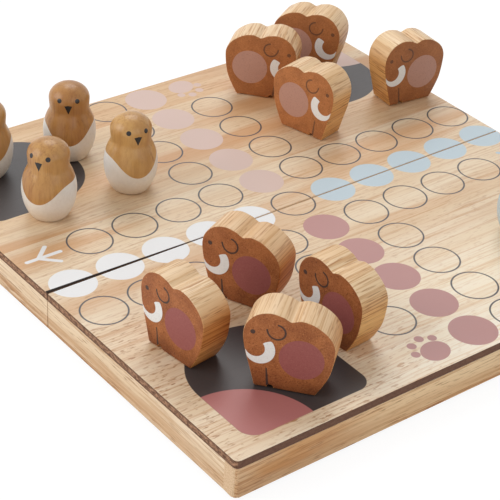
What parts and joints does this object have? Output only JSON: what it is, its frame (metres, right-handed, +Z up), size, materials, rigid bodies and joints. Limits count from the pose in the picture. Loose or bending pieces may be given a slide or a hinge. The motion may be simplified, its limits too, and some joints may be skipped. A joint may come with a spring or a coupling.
{
  "type": "ludo board",
  "caption": "Square folding wooden ludo board: shallow trays hinged along the middle, a printed cross-shaped track on top, mammoth and chick tokens, and a die.",
  "frame": {"origin": "on the table, under the middle of the unfolded board", "axes": "+X along the fold towards the blue side, +Y towards the rear half, +Z up"},
  "size_m": [0.3038, 0.3, 0.0667],
  "materials": {
    "printed_panel": "satin lacquered veneer with a flat print",
    "rail_wood": "oiled pale hardwood",
    "hinge_brass": "satin",
    "steel": "satin",
    "magnet_nickel": "nickel plated",
    "felt": "pressed felt",
    "rose_mammoth": "brown printed faces, bare sawn edge",
    "pink_mammoth": "brown printed faces, bare sawn edge",
    "white_egg_chick": "turned wood, painted egg",
    "blue_egg_chick": "turned wood, painted egg",
    "die_wood": "bare wood with painted pips"
  },
  "bodies": {
    "rear_half": {"rear_playing_panel": "printed_panel", "rear_outer_rail": "rail_wood", "rear_fold_rail": "rail_wood", "rear_left_rail": "rail_wood", "rear_right_rail": "rail_wood", "left_hinge_rear_leaf": "hinge_brass", "left_hinge_pin": "steel", "left_hinge_rear_screw_1": "steel", "left_hinge_rear_screw_2": "steel", "rear_left_outer_pad": "felt", "rear_left_fold_pad": "felt", "rear_left_magnet": "magnet_nickel", "right_hinge_rear_leaf": "hinge_brass", "right_hinge_pin": "steel", "right_hinge_rear_screw_1": "steel", "right_hinge_rear_screw_2": "steel", "rear_right_outer_pad": "felt", "rear_right_fold_pad": "felt", "rear_right_magnet": "magnet_nickel"},
    "front_half": {"front_playing_panel": "printed_panel", "front_outer_rail": "rail_wood", "front_fold_rail": "rail_wood", "front_left_rail": "rail_wood", "front_right_rail": "rail_wood", "left_hinge_front_leaf": "hinge_brass", "left_hinge_front_screw_1": "steel", "left_hinge_front_screw_2": "steel", "front_left_outer_pad": "felt", "front_left_fold_pad": "felt", "front_left_magnet": "magnet_nickel", "right_hinge_front_leaf": "hinge_brass", "right_hinge_front_screw_1": "steel", "right_hinge_front_screw_2": "steel", "front_right_outer_pad": "felt", "front_right_fold_pad": "felt", "front_right_magnet": "magnet_nickel"},
    "rose_mammoth_1": {"rose_mammoth_1": "rose_mammoth"},
    "rose_mammoth_2": {"rose_mammoth_2": "rose_mammoth"},
    "rose_mammoth_3": {"rose_mammoth_3": "rose_mammoth"},
    "rose_mammoth_4": {"rose_mammoth_4": "rose_mammoth"},
    "pink_mammoth_1": {"pink_mammoth_1": "pink_mammoth"},
    "pink_mammoth_2": {"pink_mammoth_2": "pink_mammoth"},
    "pink_mammoth_3": {"pink_mammoth_3": "pink_mammoth"},
    "pink_mammoth_4": {"pink_mammoth_4": "pink_mammoth"},
    "white_egg_chick_1": {"white_egg_chick_1": "white_egg_chick"},
    "white_egg_chick_2": {"white_egg_chick_2": "white_egg_chick"},
    "white_egg_chick_3": {"white_egg_chick_3": "white_egg_chick"},
    "white_egg_chick_4": {"white_egg_chick_4": "white_egg_chick"},
    "blue_egg_chick_1": {"blue_egg_chick_1": "blue_egg_chick"},
    "blue_egg_chick_2": {"blue_egg_chick_2": "blue_egg_chick"},
    "blue_egg_chick_3": {"blue_egg_chick_3": "blue_egg_chick"},
    "blue_egg_chick_4": {"blue_egg_chick_4": "blue_egg_chick"},
    "die": {"die": "die_wood"}
  },
  "joints": [
    {"name": "fold", "type": "hinge", "parent": "rear_half", "child": "front_half", "pos_m": [0, 0, 0.0011], "axis": [1, 0, 0], "range_deg": [0, 180]},
    {"name": "rose_mammoth_1_lift", "type": "slide", "parent": "front_half", "child": "rose_mammoth_1", "axis": [0, 0, 1], "range_m": [0, 0.06]},
    {"name": "rose_mammoth_2_lift", "type": "slide", "parent": "front_half", "child": "rose_mammoth_2", "axis": [0, 0, 1], "range_m": [0, 0.06]},
    {"name": "rose_mammoth_3_lift", "type": "slide", "parent": "front_half", "child": "rose_mammoth_3", "axis": [0, 0, 1], "range_m": [0, 0.06]},
    {"name": "rose_mammoth_4_lift", "type": "slide", "parent": "front_half", "child": "rose_mammoth_4", "axis": [0, 0, 1], "range_m": [0, 0.06]},
    {"name": "pink_mammoth_1_lift", "type": "slide", "parent": "rear_half", "child": "pink_mammoth_1", "axis": [0, 0, 1], "range_m": [0, 0.06]},
    {"name": "pink_mammoth_2_lift", "type": "slide", "parent": "rear_half", "child": "pink_mammoth_2", "axis": [0, 0, 1], "range_m": [0, 0.06]},
    {"name": "pink_mammoth_3_lift", "type": "slide", "parent": "rear_half", "child": "pink_mammoth_3", "axis": [0, 0, 1], "range_m": [0, 0.06]},
    {"name": "pink_mammoth_4_lift", "type": "slide", "parent": "rear_half", "child": "pink_mammoth_4", "axis": [0, 0, 1], "range_m": [0, 0.06]},
    {"name": "white_egg_chick_1_lift", "type": "slide", "parent": "rear_half", "child": "white_egg_chick_1", "axis": [0, 0, 1], "range_m": [0, 0.06]},
    {"name": "white_egg_chick_2_lift", "type": "slide", "parent": "rear_half", "child": "white_egg_chick_2", "axis": [0, 0, 1], "range_m": [0, 0.06]},
    {"name": "white_egg_chick_3_lift", "type": "slide", "parent": "rear_half", "child": "white_egg_chick_3", "axis": [0, 0, 1], "range_m": [0, 0.06]},
    {"name": "white_egg_chick_4_lift", "type": "slide", "parent": "rear_half", "child": "white_egg_chick_4", "axis": [0, 0, 1], "range_m": [0, 0.06]},
    {"name": "blue_egg_chick_1_lift", "type": "slide", "parent": "front_half", "child": "blue_egg_chick_1", "axis": [0, 0, 1], "range_m": [0, 0.06]},
    {"name": "blue_egg_chick_2_lift", "type": "slide", "parent": "front_half", "child": "blue_egg_chick_2", "axis": [0, 0, 1], "range_m": [0, 0.06]},
    {"name": "blue_egg_chick_3_lift", "type": "slide", "parent": "front_half", "child": "blue_egg_chick_3", "axis": [0, 0, 1], "range_m": [0, 0.06]},
    {"name": "blue_egg_chick_4_lift", "type": "slide", "parent": "front_half", "child": "blue_egg_chick_4", "axis": [0, 0, 1], "range_m": [0, 0.06]},
    {"name": "die_lift", "type": "slide", "parent": "front_half", "child": "die", "axis": [0, 0, 1], "range_m": [0, 0.06]}
  ]
}
